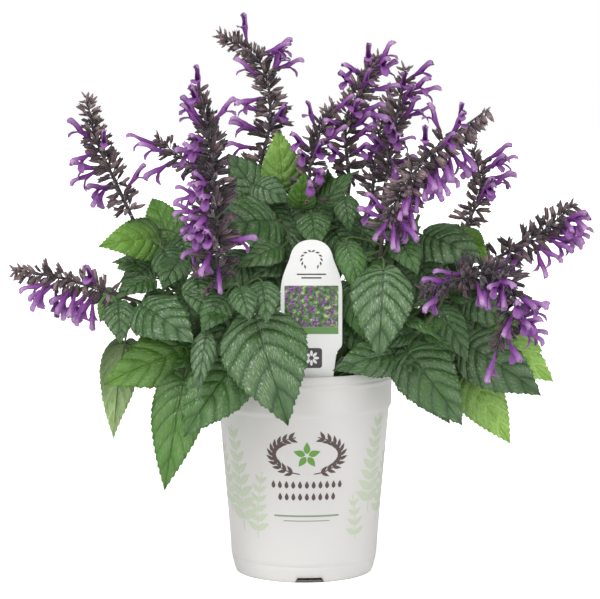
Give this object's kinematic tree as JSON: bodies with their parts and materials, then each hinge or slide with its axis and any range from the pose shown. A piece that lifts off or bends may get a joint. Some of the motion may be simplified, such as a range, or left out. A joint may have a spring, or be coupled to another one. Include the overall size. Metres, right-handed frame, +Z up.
{
  "type": "potted perennial salvia",
  "caption": "Perennial salvia in flower in a round nursery pot: leafy shoots, upright spikes of dark calyces with violet corollas, soil and a plain plant tag.",
  "frame": {"origin": "centre of the pot's flat base, on the surface that it stands on", "axes": "+Z up out of the pot, -Y towards the front, where the plant tag faces, +X to the right as seen from the front"},
  "size_m": [0.5236, 0.2867, 0.514],
  "materials": {
    "pot": "satin white moulded polypropylene, softly bright at the rim, with a pale sage leaf print",
    "soil": "dark crumbly potting mix of bark and peat",
    "plant_tag": "thin smooth white plastic card with a plain violet and green panel",
    "foliage": "quilted, softly glossy leaves from bright yellow-green to dark grey-green, paler below, on green square stems",
    "flower": "velvety deep violet corollas out of dark purple-brown ribbed calyces"
  },
  "bodies": {
    "root": {"pot": "pot", "soil": "soil", "plant_tag": "plant_tag", "leafy_stem_01": "foliage", "leafy_stem_02": "foliage", "leafy_stem_03": "foliage", "leafy_stem_04": "foliage", "leafy_stem_05": "foliage", "leafy_stem_06": "foliage", "leafy_stem_07": "foliage", "leafy_stem_08": "foliage", "leafy_stem_09": "foliage", "leafy_stem_10": "foliage", "leafy_stem_11": "foliage", "leafy_stem_12": "foliage", "leafy_stem_13": "foliage", "leafy_stem_14": "foliage", "leafy_stem_15": "foliage", "leafy_stem_16": "foliage", "flower_spike_01": "flower", "flower_spike_02": "flower", "flower_spike_03": "flower", "flower_spike_04": "flower", "flower_spike_05": "flower", "flower_spike_06": "flower", "flower_spike_07": "flower", "flower_spike_08": "flower", "flower_spike_09": "flower", "flower_spike_10": "flower", "flower_spike_11": "flower", "flower_spike_12": "flower", "flower_spike_13": "flower"}
  },
  "joints": []
}
